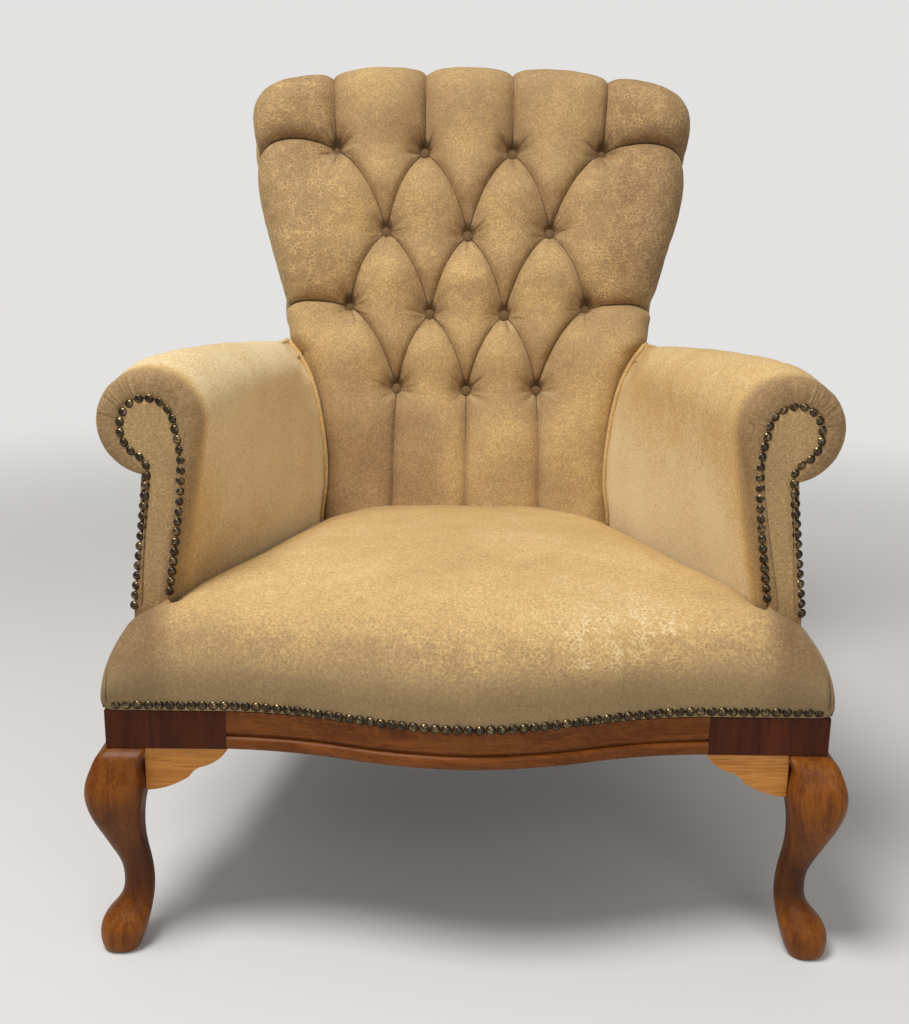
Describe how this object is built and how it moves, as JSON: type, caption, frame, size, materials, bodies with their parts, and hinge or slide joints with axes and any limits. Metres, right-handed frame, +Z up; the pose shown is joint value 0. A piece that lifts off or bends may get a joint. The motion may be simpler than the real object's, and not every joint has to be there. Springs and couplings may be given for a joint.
{
  "type": "tufted armchair",
  "caption": "Tufted scroll-arm armchair: deep-buttoned back, fixed stuffed seat with a serpentine front, nail-trimmed arms and carved-knee cabriole front legs",
  "frame": {"origin": "centre of the bounding box in plan, on the floor", "axes": "+X towards the right as seen from the front, +Y from the front to the back, +Z up"},
  "size_m": [0.781, 0.8544, 0.9711],
  "materials": {
    "cover_fabric": "sand-gold mohair velvet, short pile, brushed lighter on the seat and arms",
    "leg_wood": "reddish honey wood, waxed",
    "rail_wood": "honey wood, waxed",
    "block_wood": "dark walnut, waxed",
    "frame_wood": "sawn beech, unfinished",
    "padding": "horsehair and cotton felt",
    "webbing": "jute webbing and hessian",
    "nail_brass": "antique bronze, domed heads",
    "spring_steel": "drawn wire, oiled",
    "dust_cloth": "black cambric"
  },
  "bodies": {
    "root": {"arm_cover_left": "cover_fabric", "arm_cover_right": "cover_fabric", "arm_facing_left": "cover_fabric", "arm_facing_right": "cover_fabric", "arm_front_board_left": "frame_wood", "arm_front_board_right": "frame_wood", "arm_padding_left": "padding", "arm_padding_right": "padding", "arm_tacking_rail_left": "frame_wood", "arm_tacking_rail_right": "frame_wood", "arm_top_rail_left": "frame_wood", "arm_top_rail_right": "frame_wood", "arm_welt_left": "cover_fabric", "arm_welt_right": "cover_fabric", "back_buttons": "cover_fabric", "back_cover": "cover_fabric", "back_crest_rail": "frame_wood", "back_lower_rail": "frame_wood", "back_padding": "padding", "back_rail": "frame_wood", "back_webbing": "webbing", "corner_block_left": "block_wood", "corner_block_right": "block_wood", "corner_braces": "frame_wood", "dust_cover": "dust_cloth", "facing_nails_left": "nail_brass", "facing_nails_right": "nail_brass", "frame_dowels": "frame_wood", "front_leg_left": "leg_wood", "front_leg_right": "leg_wood", "front_rail": "rail_wood", "inner_front_rail": "frame_wood", "knee_block_front_left": "rail_wood", "knee_block_front_right": "rail_wood", "knee_block_side_left": "rail_wood", "knee_block_side_right": "rail_wood", "outside_arm_panel_left": "cover_fabric", "outside_arm_panel_right": "cover_fabric", "outside_back": "cover_fabric", "rail_nails": "nail_brass", "rear_leg_and_post_left": "leg_wood", "rear_leg_and_post_right": "leg_wood", "seat_cover": "cover_fabric", "seat_hessian": "webbing", "seat_padding": "padding", "seat_springs": "spring_steel", "side_rail_left": "frame_wood", "side_rail_right": "frame_wood", "spring_clips": "spring_steel"}
  },
  "joints": []
}
